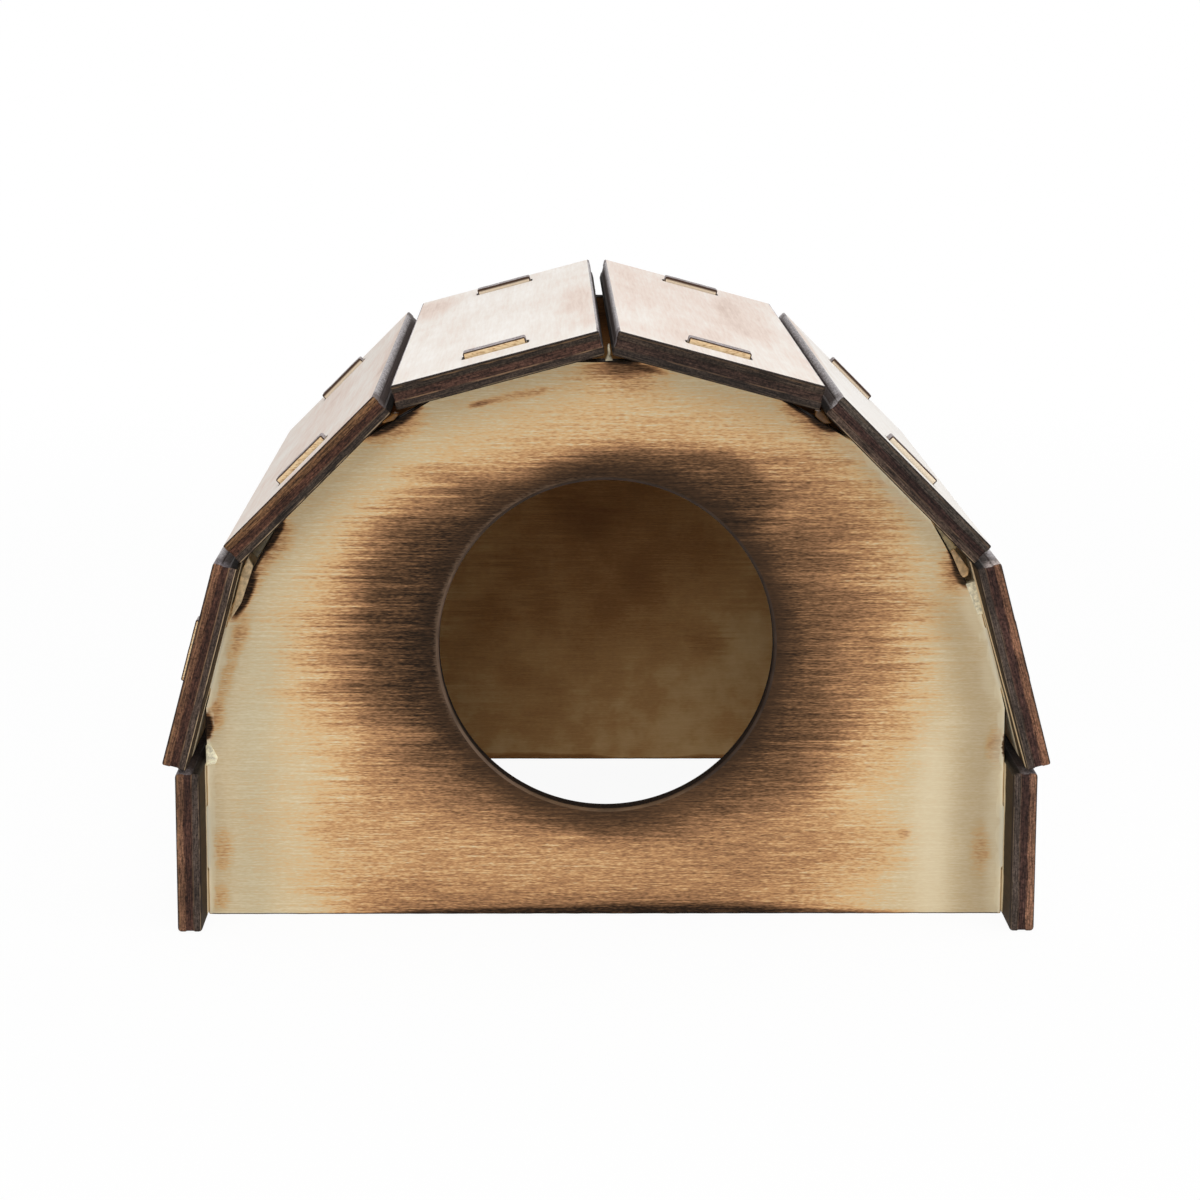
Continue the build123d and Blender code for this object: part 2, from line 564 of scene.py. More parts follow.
# Each cut corner's char: its number from the ridge, shift along the cut, half length, depth and strength
corner_chars = (
    (-2, -2.0, 8.5, 0.7, 0.9),
    (-2, 5.0, 5.0, 1.3, 0.97),
    (-1, -2.0, 6.4, 1.5, 0.97),
    (0, 2.5, 4.0, 0.7, 0.85),
    (1, -1.0, 5.5, 0.6, 0.8),
    (1, 2.2, 3.8, 1.3, 0.97),
    (2, 0.5, 4.0, 0.8, 0.9),
    (2, 2.4, 3.2, 1.6, 0.97),
)
corner_char_soft_share = 0.5
corner_halo_growth = 1.0
corner_halo_strength = 0.34
corner_halo_soft_share = 0.9


def corner_marks():
    """The char along each cut corner, and the toasted wood round it."""
    marks = []
    halos = []
    for number, shift, half_length, depth, strength in corner_chars:
        turn = row_turn * number
        across, up = over_arch(turn, cut_reach)
        place = (across / mm + shift * math.cos(turn), up / mm - shift * math.sin(turn))
        marks.append((*place, half_length, depth, strength, corner_char_soft_share, turn))
        halo_size = (half_length + corner_halo_growth, 2 * (depth + corner_halo_growth))
        halos.append((*place, *halo_size, corner_halo_strength, corner_halo_soft_share, turn))
    return marks, halos


def worn_ring(tree, colour, across, up, from_rim, fibres):
    """A narrow ring on the rim's upper left, rubbed paler."""
    ring = spread(tree, swing(tree, fibres, 2.0, from_rim), 0.4, 1.2, 0.6, 0.0)
    to_left = spread(tree, across, -16.0, 4.0, 1.0, 0.0)
    upper_left = times(tree, to_left, spread(tree, up, 24.0, 40.0))
    return mixed(tree, times(tree, ring, upper_left), colour, seen(104, 84, 68))


def side_bands(tree, colour, across, up, to_slat, clouds):
    """Faint bands along the slats: a pale one and a darker grey-brown one on the right, a greenish one on
    the left.
    """
    on_right = spread(tree, across, 20.0, 40.0)
    on_left = spread(tree, across, -40.0, -20.0, 1.0, 0.0)
    fade = 12.0
    for side, middle, reach, strength, upper_end, tint in (
        (on_right, 12.0, 5.0, 0.5, 36.0, (232, 217, 184)),
        (on_right, 4.6, 6.2, 0.36, 60.0, (150, 127, 94)),
        (on_left, 8.0, 6.0, 0.16, 54.0, (150, 164, 150)),
    ):
        off_band = away_from(tree, to_slat, middle)
        band = spread(tree, swing(tree, clouds, 4.0, off_band), 0.3, reach, strength, 0.0)
        band = times(tree, band, side)
        band = times(tree, band, spread(tree, up, upper_end - fade, upper_end, 1.0, 0.0))
        colour = mixed(tree, band, colour, seen(*tint))
    return colour


def glue_film(tree, colour, across, up, to_slat, heat, grain, clouds):
    """Squeezed-out glue along the slats, wider and higher up on the right, and none where it has burnt."""
    crumbs = streaks(tree, grain, (1.4, 3.0, 1.0), 2.0, 0.6)
    film = spread(tree, swing(tree, crumbs, 3.0, to_slat), 0.6, 1.6, 1.0, 0.0)
    smear = spread(tree, swing(tree, clouds, 6.0, to_slat), 0.5, 3.2, 0.6, 0.0)
    smear = times(tree, smear, spread(tree, across, 20.0, 40.0))
    upper_end = spread(tree, across, -10.0, 10.0, 50.0, 80.0)
    low_down = spread(tree, maths(tree, "SUBTRACT", up, upper_end), -8.0, 4.0, 0.9, 0.0)
    film = times(tree, maths(tree, "MAXIMUM", film, smear), low_down)
    film = times(tree, film, spread(tree, heat, 0.35, 0.7, 1.0, 0.0))
    dried = mixed(tree, spread(tree, to_slat, 0.2, 0.9), seen(240, 231, 206), seen(226, 214, 184))
    return mixed(tree, film, colour, dried)


def bare_tenons(tree, colour, across, to_slat, outside, fibres):
    """The tenons' untoasted faces: grained and paler on the right outside, dark at their tips inside."""
    outer = ramp(tree, fibres, ((0.3, (170, 132, 92)), (0.45, (220, 190, 148)), (0.7, (234, 210, 170))))
    outer = mixed(tree, spread(tree, across, 20.0, 50.0, 0.0, 0.7), outer, seen(242, 230, 210))
    at_tip = spread(tree, to_slat, -4.7, -4.3, 1.0, 0.0)
    inner = mixed(tree, at_tip, seen(226, 206, 180), seen(72, 54, 44))
    on_tenon = spread(tree, to_slat, -2.0, -1.0, 1.0, 0.0)
    return mixed(tree, on_tenon, colour, mixed(tree, outside, inner, outer))


def panel_face(name, bare_toast, toasts, chars, inner_toast, inner_toasts, has_entrance):
    """Toasted panel: grain across it, frayed burn marks, charred corners, smears of glue, bare tenons."""
    material, tree, (across, up, depth), grain = new_wood(name)
    rows = streaks(tree, grain, (40.0, 0.6, 9.0), 2.0, 0.7)
    strands = streaks(tree, grain, (7.0, 0.26, 9.0), 1.0, 0.6)
    fibres = streaks(tree, grain, (0.9, 0.17, 5.0), 1.0, 0.6)
    clouds = streaks(tree, grain, (15.0, 6.0, 16.0), 2.0, 0.5)
    smudges = streaks(tree, grain, (9.0, 9.0, 16.0), 3.0, 0.6)
    to_slat = slat_distance(tree, across, up)
    outside = spread(tree, depth, 1.5, 2.5)

    # Burns on the outer face: toasts frayed far along the grain, the corners' halos less, chars hardly
    pushed = swing(tree, rows, 16.0, swing(tree, clouds, 8.0, across))
    frayed = flat(tree, pushed, swing(tree, clouds, 3.0, up))
    feathered = flat(tree, swing(tree, rows, 6.0, across), up)
    ragged = flat(tree, swing(tree, rows, 0.8, across), up)
    marks, halos = corner_marks()
    unburnt = unburnt_by(tree, 1 - bare_toast, frayed, toasts)
    unburnt = unburnt_by(tree, unburnt, feathered, halos)
    unburnt = unburnt_by(tree, unburnt, ragged, [*marks, *chars])
    calm = 1.0
    if has_entrance:
        from_rim = rim_distance(tree, across, up)
        unburnt = times(tree, unburnt, spread(tree, from_rim, 0.6, 6.0, 0.6, 1.0))
        calm = spread(tree, from_rim, 1.0, 5.0, 0.4, 1.0)

    # Smoke marks on the inner face; the inner face is also darker towards the slats
    inside = unburnt_by(tree, 1 - inner_toast, frayed, inner_toasts)
    inside = times(tree, inside, spread(tree, smudges, 0.35, 0.65, 0.86, 1.0))
    inside = times(tree, inside, spread(tree, to_slat, 5.0, 14.0, 0.1, 1.0))
    kept = wire(tree, "ShaderNodeMix", {"Factor": outside, "A": inside, "B": unburnt}, data_type="FLOAT")
    heat = maths(tree, "SUBTRACT", 1.0, kept)

    # Streaks of the grain, stronger in browner wood and fainter in char, at the rim and inside
    pale_strands = spread(tree, strands, 0.58, 0.72, 0.0, -0.22)
    streak = swing(tree, strands, 0.5, swing(tree, fibres, 0.42, pale_strands))
    weight = spread(tree, heat, 0.03, 0.4, 0.42, 1.7)
    weight = times(tree, weight, spread(tree, heat, 0.5, 0.7, 1.0, 0.76))
    weight = times(tree, weight, calm)
    weight = times(tree, weight, spread(tree, depth, 1.5, 2.5, 0.4, 1.0))
    level = maths(tree, "MULTIPLY_ADD", streak, weight, heat)
    colour = mixed(tree, outside, ramp(tree, level, inner_colours), ramp(tree, level, toast_colours))

    if has_entrance:
        colour = worn_ring(tree, colour, across, up, from_rim, fibres)
    colour = side_bands(tree, colour, across, up, to_slat, clouds)
    colour = glue_film(tree, colour, across, up, to_slat, heat, grain, clouds)
    colour = bare_tenons(tree, colour, across, to_slat, outside, fibres)
    roughness = spread(tree, level, 0.0, 1.0, 0.62, 0.5)
    return finish_surface(tree, material, colour, roughness, strands, 0.012 * mm, 0.06)


def panel_edge():
    """Charred cut edge of a panel: a worn lip at the entrance, glue in the joints and grey tenon ends with
    painted sheen.
    """
    material, tree, (across, up, depth), grain = new_wood("panel edge char")
    thickness = board_thickness / mm
    specks = streaks(tree, grain, (0.4, 0.4, 0.5), 3.0, 0.7)
    smears = streaks(tree, grain, (5.0, 5.0, 0.8), 3.0, 0.6)
    colour = ramp(tree, specks, ((0.3, (20, 15, 12)), (0.7, (46, 36, 30))))

    # The entrance's lip on the outer arris, worn paler on the left and below
    lip = spread(tree, rim_distance(tree, across, up), 0.8, 1.2, 1.0, 0.0)
    lip = times(tree, lip, spread(tree, depth, thickness - 0.6, thickness - 0.2))
    dark_lip = seen(56, 44, 36)
    lip_wood = mixed(tree, spread(tree, across, -18.0, 14.0), seen(94, 76, 62), dark_lip)
    lip_wood = mixed(tree, spread(tree, up, 19.0, 24.0, 1.0, 0.0), lip_wood, seen(92, 71, 52))
    lip_wood = mixed(tree, spread(tree, up, 56.0, 68.0), lip_wood, dark_lip)
    colour = mixed(tree, lip, colour, shaded(tree, lip_wood, spread(tree, smears, 0.3, 0.7, 0.7, 1.3)))

    # Glue along the slats, but not in the open gap at the eaves
    open_gap_height = 32.0
    to_slat = slat_distance(tree, across, up)
    from_gap = away_from(tree, up, open_gap_height)
    glued = spread(tree, to_slat, 0.4, 0.7, 1.0, 0.0)
    glued = times(tree, glued, spread(tree, from_gap, 4.5, 6.0))
    colour = mixed(tree, glued, colour, seen(190, 160, 116))

    # The tenons' ends: grey char, painted paler with the sheen it shows at a grazing view, between brown
    # arrises
    to_middle = away_from(tree, depth, thickness / 2)
    at_arris = spread(tree, to_middle, thickness / 2 - 0.4, thickness / 2 - 0.15)
    # Painted sheen: the light grey of the tenon ends
    end_char_and_sheen = ramp(tree, specks, ((0.3, (110, 100, 98)), (0.5, (158, 150, 150)), (0.7, (182, 176, 178))))
    tenon_end = mixed(tree, at_arris, end_char_and_sheen, seen(66, 48, 38))
    colour = mixed(tree, spread(tree, to_slat, -4.2, -3.8, 1.0, 0.0), colour, tenon_end)
    return finish_surface(tree, material, colour, 0.6, specks, 0.1 * mm, 0.1)


panel_edge_char = panel_edge()
front_wood = panel_face("front panel toasted wood", 0.07, front_toasts, front_chars, 0.35, (), True)
front_seat = (0.0, front_high.y, 0.0)
front_turn = (math.pi / 2, 0.0, 0.0)
front_grain_shift = (0.0, 0.0, 0.0)
front_panel = cut_board(
    "front_panel_board", [panel_outline()], "front_panel", front_seat, front_turn, front_grain_shift,
    panel_easing, (front_wood, panel_edge_char), has_entrance=True,
)

# Back panel
# The same board without an entrance, cut from the same sheet and toasted more evenly. Its tenons hold the
# far ends of the slats, and its smoked inner face shows through the entrance.
back_low, back_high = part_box("back_panel")
back_toasts = (
    (0, 34, 56, 52, 0.25, 0.35),
    (-12, 50, 34, 30, 0.35, 0.8),
    (20, 30, 30, 22, 0.25, 0.8),
    (3, 0, 40, 2.2, 0.6, 0.7),
)
back_inner_toasts = (
    (-2, 55, 42, 44, 0.36, 0.9),
    (4, 48, 12, 10, 0.14, 0.8),
    (17, 32, 14, 12, 0.16, 0.8),
    (16, 16, 20, 16, 0.12, 0.9),
    (-2, 14, 34, 18, 0.06, 0.9),
    (-15, 36, 10, 6, 0.06, 0.8),
    (16, 39, 6, 5, 0.14, 0.8),
    (21, 30, 6, 7, 0.16, 0.8),
    (11, 33, 4, 6, 0.12, 0.8),
    (-8, 37, 6, 8, 0.14, 0.8),
    (-21, 24, 6, 5, 0.14, 0.8),
    (3, 49, 9, 6, 0.12, 0.8),
    (27, 26, 8, 18, 0.12, 0.9),
    (-3, 29, 17, 14, 0.16, 0.9),
    (-25, 38, 11, 14, 0.14, 0.9),
    (0, 0, 60, 1.0, 0.4, 0.7),
)
back_wood = panel_face("back panel toasted wood", 0.1, back_toasts, (), 0.06, back_inner_toasts, False)
back_seat = (0.0, back_low.y, 0.0)
back_turn = (math.pi / 2, 0.0, math.pi)
back_grain_shift = (0.31, 0.17, 0.05)
back_panel = cut_board(
    "back_panel_board", [panel_outline()], "back_panel", back_seat, back_turn, back_grain_shift,
    panel_easing, (back_wood, panel_edge_char),
)

# Slats
# Eight boards from front to back: six over the arch and two upright sides. Each has a mortise over each
# panel's tenon. The laser has charred the edges, and the faces are toasted pale.
panel_offset = (back_low.y + back_high.y) / 2
mortise_clearance = 0.1 * mm
roof_easing = (0.3 * mm, 0.5 * mm)
side_easing = (0.6 * mm, 0.75 * mm)
long_edge_plies = ((30, 25, 22), (62, 51, 47), (92, 82, 80))
# Painted sheen: the pale grey along the outer arris of the slats' long edges
arris_sheen_colour = (184, 179, 180)
# Each slat's end plies and the strengths of the bare lines on them, both from the inner face to the outer,
# and the painted glint near the ends of its long edges
slat_ends = {
    "left_side": (((64, 54, 48), (60, 39, 32), (104, 74, 56)), (0.4, 0.4, 0.6), (128, 120, 122)),
    "left_lower": (((66, 54, 47), (60, 38, 30), (98, 68, 50)), (1.0, 0.6, 0.8), (124, 116, 120)),
    "left_middle": (((50, 41, 35), (64, 40, 30), (88, 61, 40)), (0.9, 0.3, 0.8), (112, 102, 100)),
    "left_top": (((46, 37, 31), (60, 40, 32), (46, 37, 30)), (0.35, 0.6, 0.4), (128, 120, 122)),
    "right_top": (((44, 36, 31), (50, 36, 30), (50, 40, 33)), (0.15, 0.25, 0.2), (128, 120, 122)),
    "right_middle": (((64, 51, 43), (46, 31, 27), (60, 53, 47)), (0.7, 0.25, 0.2), (168, 162, 162)),
    "right_lower": (((64, 54, 48), (60, 40, 35), (114, 80, 61)), (0.3, 0.25, 0.3), (188, 175, 170)),
    "right_side": (((66, 56, 50), (56, 38, 33), (114, 82, 64)), (0.2, 0.2, 0.3), (128, 120, 122)),
}


def layered(tree, depth, plies, soft):
    """The colours of the three plies of a cut edge, from the inner face to the outer."""
    colour = seen(*plies[0])
    for number, ply in enumerate(plies[1:], start=1):
        line = board_thickness / mm * number / ply_count
        colour = mixed(tree, spread(tree, depth, line - soft, line + soft), colour, seen(*ply))
    return colour


def long_edge_char(tree, depth, wander, to_end, dashes, end_glint_colour):
    """A slat's long edges: dark plies, a painted sheen along the outer arris and a painted glint near the
    ends.
    """
    outer_face = board_thickness / mm
    colour = layered(tree, wander, long_edge_plies, 0.5)
    # Painted sheen: a pale line along the outer arris
    rubbed = spread(tree, swing(tree, dashes, 1.2, depth), outer_face - 1.3, outer_face - 0.4)
    rubbed = times(tree, rubbed, spread(tree, to_end, 3.0, 9.0, 0.0, 0.75))
    # Painted glint: paler char near the ends of the long edges
    worn = spread(tree, swing(tree, dashes, 8.0, to_end), 1.0, 7.0, 0.9, 0.0)
    worn = times(tree, worn, spread(tree, wander, 1.0, 2.0))
    colour = mixed(tree, rubbed, colour, seen(*arris_sheen_colour))
    return mixed(tree, worn, colour, seen(*end_glint_colour))


def bare_lines(tree, colour, depth, at_end, fading, line_strengths):
    """Thin broken lines of bare wood across a slat's ends, near the arrises and between two plies."""
    outer_face = board_thickness / mm
    line_places = (
        (0.2, (214, 184, 144)),
        (outer_face / ply_count, (150, 118, 88)),
        (outer_face - 0.42, (156, 120, 84)),
    )
    half_width = 0.16
    for strength, (middle, line_colour) in zip(line_strengths, line_places):
        to_line = away_from(tree, swing(tree, fading, 0.2, depth), middle)
        line = spread(tree, to_line, 0.0, half_width, strength, 0.0)
        line = times(tree, line, spread(tree, fading, 0.36, 0.62))
        colour = mixed(tree, times(tree, line, at_end), colour, seen(*line_colour))
    return colour


def slat_edge(name, plies, line_strengths, end_glint_colour):
    """Charred cut edge of a slat: dark plies on the ends, grey char with painted sheen along the sides,
    singed arrises.
    """
    material, tree, (across, along, depth), grain = new_wood(name)
    half_board = board_thickness / mm / 2
    half_tenon = tenon_length / mm / 2
    specks = streaks(tree, grain, (0.5, 0.5, 0.4), 2.0, 0.8)
    flecks = streaks(tree, grain, (3.2, 3.2, 0.15), 2.0, 0.65)
    smears = streaks(tree, grain, (6.0, 6.0, 0.8), 3.0, 0.6)
    clouds = streaks(tree, grain, (9.0, 9.0, 6.0), 2.0, 0.5)
    dashes = streaks(tree, grain, (1.6, 1.6, 0.6), 2.0, 0.6)
    fading = streaks(tree, grain, (5.0, 5.0, 0.5), 2.0, 0.7)
    wander = swing(tree, flecks, 0.6, swing(tree, smears, 0.8, depth))
    to_end = maths(tree, "SUBTRACT", house_depth / mm / 2, maths(tree, "ABSOLUTE", along))

    # The ends, the long edges and the mortises, all with the grit of char
    at_end = spread(tree, to_end, 0.4, 0.6, 1.0, 0.0)
    end_grain = layered(tree, wander, plies, 0.2)
    end_grain = shaded(tree, end_grain, spread(tree, flecks, 0.3, 0.7, 0.2, 1.9, "LINEAR"))
    end_grain = shaded(tree, end_grain, spread(tree, clouds, 0.3, 0.7, 0.7, 1.25))
    long_edge = long_edge_char(tree, depth, wander, to_end, dashes, end_glint_colour)
    colour = mixed(tree, at_end, long_edge, end_grain)
    to_side = maths(tree, "ABSOLUTE", across)
    in_mortise = spread(tree, to_side, half_tenon + 0.8, half_tenon + 1.2, 1.0, 0.0)
    in_mortise = times(tree, in_mortise, spread(tree, to_end, 4.0, 5.0))
    colour = mixed(tree, in_mortise, colour, seen(52, 42, 36))
    colour = shaded(tree, colour, spread(tree, specks, 0.3, 0.7, 0.3, 1.75, "LINEAR"))

    # Bare wood on the ends, and the singed arrises there and in the mortises
    colour = bare_lines(tree, colour, depth, at_end, fading, line_strengths)
    to_middle = away_from(tree, depth, half_board)
    singed = spread(tree, to_middle, half_board - 0.25, half_board - 0.12)
    singed = times(tree, singed, maths(tree, "MAXIMUM", at_end, in_mortise))
    colour = mixed(tree, singed, colour, seen(38, 30, 26))
    return finish_surface(tree, material, colour, 0.6, specks, 0.1 * mm, 0.12)


def slat_inside(tree, across, to_end, strands, fibres, clouds, lit_line_run):
    """A slat's browner inner face: charred under the overhang, with glue squeezed out along the panels, an
    optional painted lit line near the end, and painted shade inside the house.
    """
    level = swing(tree, strands, 0.8, swing(tree, fibres, 0.5, 0.3))
    colour = ramp(tree, level, ((0.0, (206, 184, 144)), (0.5, (186, 156, 114)), (1.0, (140, 106, 74))))
    half_board = board_thickness / mm / 2
    panel_middle = (house_depth / 2 - panel_offset) / mm
    overhang = panel_middle - half_board
    singed = spread(tree, swing(tree, fibres, 1.5, to_end), overhang - 2.4, overhang - 1.0, 0.95, 0.0)
    char = ramp(tree, strands, ((0.3, (26, 20, 17)), (0.7, (50, 38, 32))))
    colour = mixed(tree, singed, colour, char)
    to_panel = away_from(tree, to_end, panel_middle)
    squeezed = swing(tree, clouds, 4.0, to_panel)
    at_panel = spread(tree, squeezed, half_board + 1.5, half_board + 2.2, 1.0, 0.0)
    colour = mixed(tree, at_panel, colour, seen(228, 212, 180))
    # Painted highlight: a pale line across the inner face near the end, standing for a lit strip of it
    if lit_line_run:
        half = roof_slat_width / mm / 2
        run = spread(tree, across, -half, half, *lit_line_run, "LINEAR")
        from_run = away_from(tree, to_end, swing(tree, clouds, 2.0, run))
        on_run = spread(tree, from_run, 0.9, 1.6, 1.0, 0.0)
        colour = mixed(tree, on_run, colour, seen(228, 206, 168))
    # Painted shade: the inner face is darker further in than the panels, inside the house
    return shaded(tree, colour, spread(tree, to_end, overhang + 3.0, overhang + 6.0, 1.0, 0.8))


def slat_face(name, bare_toast, toasts, lit_line_run=None):
    """Pale toasted slat with its grain along it: pinkish outside and painted near white for the light on
    it, browner inside and burnt at the ends.
    """
    material, tree, (across, along, depth), grain = new_wood(name)
    strands = streaks(tree, grain, (1.6, 50.0, 9.0), 3.0, 0.6)
    fibres = streaks(tree, grain, (0.5, 10.0, 5.0), 2.0, 0.6)
    clouds = streaks(tree, grain, (9.0, 40.0, 16.0), 2.0, 0.5)
    patches = streaks(tree, grain, (7.0, 20.0, 9.0), 3.0, 0.6)
    frayed = flat(tree, swing(tree, clouds, 5.0, across), swing(tree, strands, 24.0, along))
    heat = maths(tree, "SUBTRACT", 1.0, unburnt_by(tree, 1 - bare_toast, frayed, toasts))
    streak = swing(tree, strands, 0.25, swing(tree, fibres, 0.35, swing(tree, clouds, 0.25)))
    level = maths(tree, "ADD", heat, swing(tree, patches, 0.32, streak))
    # Painted light: the outer face's pale toasted colours are lifted near to white, for the light and
    # sheen on it
    outer = ramp(
        tree, level,
        ((0.0, (244, 240, 235)), (0.2, (235, 227, 219)), (0.4, (228, 211, 200)), (1.0, (160, 124, 104))),
    )
    to_end = maths(tree, "SUBTRACT", house_depth / mm / 2, maths(tree, "ABSOLUTE", along))
    inner = slat_inside(tree, across, to_end, strands, fibres, clouds, lit_line_run)
    colour = mixed(tree, spread(tree, depth, 1.0, 3.0), inner, outer)
    return finish_surface(tree, material, colour, 0.7, fibres, 0.03 * mm, 0.05)


def rectangle(middle_y, width, length, hole=False):
    """The corners of a slat or, the other way round, of a mortise in it."""
    half, low, high = width / 2, middle_y - length / 2, middle_y + length / 2
    corners = [(-half, low), (half, low), (half, high), (-half, high)]
    return corners if hole else list(reversed(corners))


# How far each slat's outer face is toasted all over, its browner marks, and how far a painted lit line
# inside it lies from its end, at its first long edge and its second
slat_toasts = {
    "left_side": (0.2, ()),
    "left_lower": (0.2, ()),
    "left_middle": (
        0.26, ((-2, 0, 12, 90, 0.12, 0.6), (5, -68, 14, 8, 0.2, 0.7), (17, 0, 3, 90, 0.3, 0.8))
    ),
    "left_top": (0.17, ((-14, 50, 8, 30, 0.25, 0.8), (15, -18, 6, 55, 0.26, 0.8))),
    "right_top": (
        0.25, ((-4, 20, 14, 90, 0.1, 0.3), (9, 20, 7, 60, 0.2, 0.5), (-14, 30, 6, 60, 0.1, 0.8))
    ),
    "right_middle": (0.02, ((-16, 25, 4, 80, 0.36, 0.8),)),
    "right_lower": (0.1, (), (9.6, 1.2)),
    "right_side": (0.2, ()),
}
mortise = (tenon_length + 2 * mortise_clearance, board_thickness + 2 * mortise_clearance)
for side, sign in (("left", -1), ("right", 1)):
    side_middle = (arch_radius, side_height / 2)
    seats = [("side", f"{side}_side_slat", math.pi / 2, side_middle, side_height, side_easing)]
    for row, row_name in enumerate(("top", "middle", "lower")):
        turn = row_turn * row + half_turn
        node = f"{side}_{row_name}_roof_slat"
        seats.append((row_name, node, turn, over_arch(turn, arch_radius), roof_slat_width, roof_easing))
    for number, (row_name, node, turn, (seat_x, seat_z), width, easing) in enumerate(seats):
        key = f"{side}_{row_name}"
        outlines = [rectangle(0.0, width, house_depth)]
        outlines += [rectangle(middle, *mortise, hole=True) for middle in (-panel_offset, panel_offset)]
        woods = (
            slat_face(f"{key} slat toasted wood", *slat_toasts[key]),
            slat_edge(f"{key} slat edge char", *slat_ends[key]),
        )
        grain_shift = (0.2 * number + 0.1 * sign, 0.37 * number, 0.9 * sign)
        slat = cut_board(
            node + "_board", outlines, node, (sign * seat_x, 0.0, seat_z), (0.0, sign * turn, 0.0),
            grain_shift, easing, woods,
        )

# Squeezed-out glue
# Lumps of wood glue that came out of the corner gaps and the ridge when the slats were pressed on, trimmed
# flush with the front panel and left to harden. Some are darker and browner.
# Each lump's colour, how far it stands proud of the panel, and its outline across and up, in millimetres
glue_lumps = (
    ((206, 180, 140), 0.35, (
        (-58.5, 60.2), (-57.7, 58.8), (-59.7, 52.8), (-61.8, 49.5), (-60.6, 54.0), (-59.5, 58.2),
    )),
    ((88, 77, 55), -0.1, ((-58.0, 61.0), (-57.0, 60.0), (-53.2, 66.2), (-53.9, 66.6), (-56.0, 63.8))),
    ((190, 158, 116), 0.35, (
        (56.2, 61.4), (56.8, 61.7), (59.3, 58.4), (59.2, 57.3), (58.5, 56.9), (58.0, 57.4),
    )),
    ((150, 134, 100), -0.1, ((52.8, 67.0), (53.6, 66.8), (57.4, 61.8), (56.3, 61.0))),
    ((226, 218, 190), 0.1, ((58.8, 55.9), (60.6, 56.4), (62.9, 51.2), (61.0, 50.6))),
    ((140, 96, 44), -0.2, ((-34.6, 83.9), (-33.8, 83.7), (-34.6, 82.7), (-36.3, 82.2), (-36.6, 82.5))),
    ((96, 64, 27), -0.2, ((33.8, 84.3), (35.0, 84.3), (36.4, 82.3), (35.2, 82.2), (33.8, 83.4))),
    ((196, 186, 160), 0.5, (
        (0.0, 94.9), (0.3, 95.2), (0.5, 94.0), (0.4, 93.4), (0.9, 92.6), (-0.4, 92.5), (0.1, 93.5),
    )),
    ((248, 240, 208), 0.25, (
        (-66.0, 28.8), (-65.4, 29.3), (-64.5, 27.7), (-64.0, 26.7), (-64.4, 25.7), (-66.0, 25.3),
    )),
)
glue_depth = 2.4
glue_easing = 0.22
glue_mesh = bmesh.new()
glue_mesh.loops.layers.float_color.new("glue_tint")
for tint, proud, outline in glue_lumps:
    front = front_low.y / mm - proud
    lump = bmesh.new()
    lump_tints = lump.loops.layers.float_color.new("glue_tint")
    face = lump.faces.new([lump.verts.new((x, front, z)) for x, z in outline])
    face.normal_update()
    if face.normal.y > 0:
        face.normal_flip()
    drawn_back = bmesh.ops.extrude_face_region(lump, geom=[face], use_keep_orig=True)
    for part in drawn_back["geom"]:
        if isinstance(part, bmesh.types.BMVert):
            part.co.y += glue_depth
    bmesh.ops.recalc_face_normals(lump, faces=lump.faces)
    bmesh.ops.bevel(
        lump, geom=lump.edges[:], offset=glue_easing, segments=3, profile=0.5,
        affect="EDGES", clamp_overlap=True,
    )
    for face in lump.faces:
        face.smooth = True
        for corner in face.loops:
            corner[lump_tints] = seen(*tint)
    bmesh.ops.scale(lump, vec=(mm, mm, mm), verts=lump.verts)
    piece = bpy.data.meshes.new("lump")
    lump.to_mesh(piece)
    lump.free()
    glue_mesh.from_mesh(piece)
    bpy.data.meshes.remove(piece)
glue_data = bpy.data.meshes.new("squeezed_out_glue")
glue_mesh.to_mesh(glue_data)
glue_mesh.free()
glue_resin, tree = new_material("dried glue")
glue_tint = wire(tree, "ShaderNodeAttribute", attribute_name="glue_tint")
glue_place = vector_maths(tree, "SCALE", tree.nodes.new("ShaderNodeTexCoord").outputs["Object"], 1 / mm)
glue_clouds = streaks(tree, glue_place, (0.8, 0.8, 0.8), 3.0, 0.6)
glue_colour = shaded(tree, glue_tint, spread(tree, glue_clouds, 0.3, 0.7, 0.65, 1.25))
finish_surface(tree, glue_resin, glue_colour, 0.4, glue_clouds, 0.1 * mm, 0.4)
glue_data.materials.append(glue_resin)
glue = put_in_scene("squeezed_out_glue", glue_data)
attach(glue, "root")

# Floor
# A plain white ground, far larger than the view. It shows white to the camera, and a little less white
# near the house, where it keeps the soft shadow.
floor_reach = 3.0
floor_corners = [(x * floor_reach, y * floor_reach, 0.0) for x, y in ((-1, -1), (1, -1), (1, 1), (-1, 1))]
floor_mesh = bpy.data.meshes.new("floor")
floor_mesh.from_pydata(floor_corners, [], [(0, 1, 2, 3)])
floor = put_in_scene("floor", floor_mesh)
floor_paint, tree = new_material("white ground")


def seen_directly(tree):
    """One for rays straight from the camera, off a mirror or through glass, and zero for bounced light."""
    rays = tree.nodes.new("ShaderNodeLightPath").outputs
    mirrored = maths(tree, "MAXIMUM", rays["Is Glossy Ray"], rays["Is Transmission Ray"])
    return maths(tree, "MAXIMUM", rays["Is Camera Ray"], mirrored)


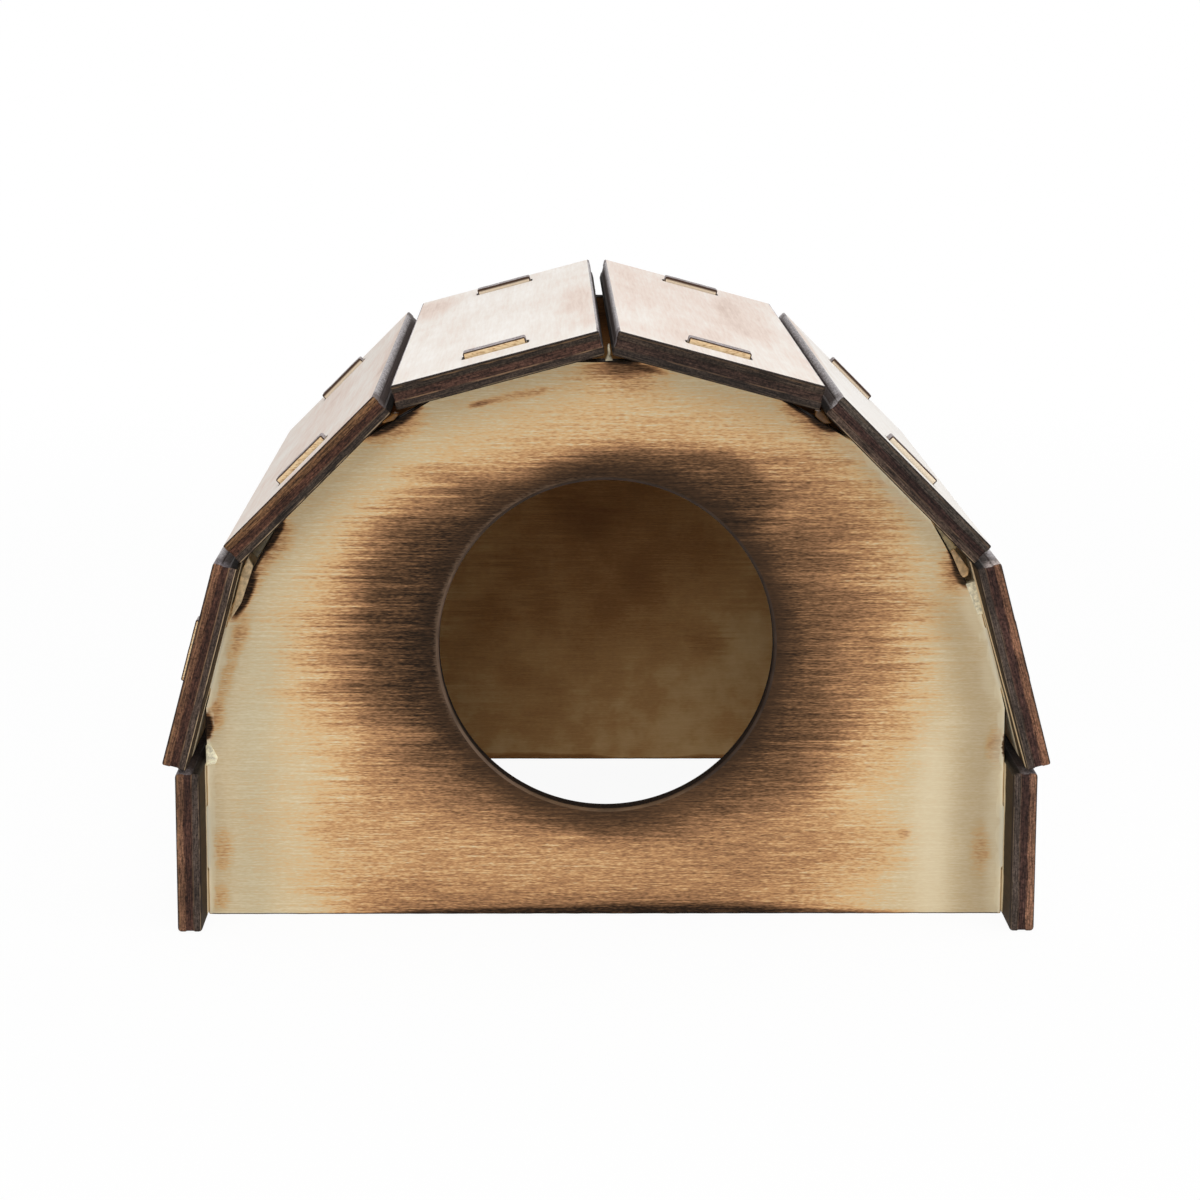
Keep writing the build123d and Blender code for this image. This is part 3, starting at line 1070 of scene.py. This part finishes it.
paper = wire(tree, "ShaderNodeBsdfDiffuse", {"Color": (0.85, 0.85, 0.85, 1.0)})
white = wire(tree, "ShaderNodeEmission", {"Color": (1.0, 1.0, 1.0, 1.0), "Strength": 1.0})
outwards = vector_maths(tree, "LENGTH", tree.nodes.new("ShaderNodeTexCoord").outputs["Object"])
whiteness = times(tree, seen_directly(tree), spread(tree, outwards, 0.2, 0.7, 0.94, 1.0))
ground = wire(tree, "ShaderNodeMixShader", [whiteness, paper, white])
tree.links.new(ground, tree.nodes.new("ShaderNodeOutputMaterial").inputs["Surface"])
floor_mesh.materials.append(floor_paint)

# Light
# Soft studio light: an even white surround, one broad lamp above and one in front, at a level that shows
# the woods about as their colours are written.
world = bpy.data.worlds.new("studio")
bpy.context.scene.world = world
world.use_nodes = True
tree = world.node_tree
tree.nodes.clear()
surround = spread(tree, seen_directly(tree), 0.0, 1.0, 0.55, 1.0, "LINEAR")
sky = wire(tree, "ShaderNodeBackground", {"Color": (1.0, 1.0, 1.0, 1.0), "Strength": surround})
tree.links.new(sky, tree.nodes.new("ShaderNodeOutputWorld").inputs["Surface"])
lamp_aim = Vector((0.0, 0.0, 0.05))


def soft_lamp(name, place, size, power):
    """A square lamp that looks at the middle of the house."""
    lamp = bpy.data.lights.new(name, "AREA")
    lamp.shape = "SQUARE"
    lamp.size = size
    lamp.energy = power
    made = put_in_scene(name, lamp)
    made.location = place
    made.rotation_euler = (lamp_aim - Vector(place)).to_track_quat("-Z", "Y").to_euler()


soft_lamp("overhead", (0.25, -0.25, 1.07), 0.9, 5.8)
soft_lamp("front fill", (-0.15, -1.3, 0.6), 0.8, 6.0)

# Camera
# Stands in front of the house and a little above it. Its place and angles were fitted to points of the
# photograph.
camera_place = (-0.009426, -0.602463, 0.152838)
camera_pitch, camera_yaw, camera_roll = (math.radians(angle) for angle in (10.39, -0.88, 0.169))
focal_length = 101.2
sensor_width = 36.0
camera = put_in_scene("camera", bpy.data.cameras.new("camera"))
camera.data.lens = focal_length
camera.data.sensor_width = sensor_width
camera.data.clip_start = 0.01
camera.location = camera_place
aim = Matrix.Rotation(camera_yaw, 4, "Z") @ Matrix.Rotation(math.pi / 2 - camera_pitch, 4, "X")
camera.rotation_euler = (aim @ Matrix.Rotation(camera_roll, 4, "Z")).to_euler()
bpy.context.scene.camera = camera
bpy.context.scene.view_settings.view_transform = "Standard"
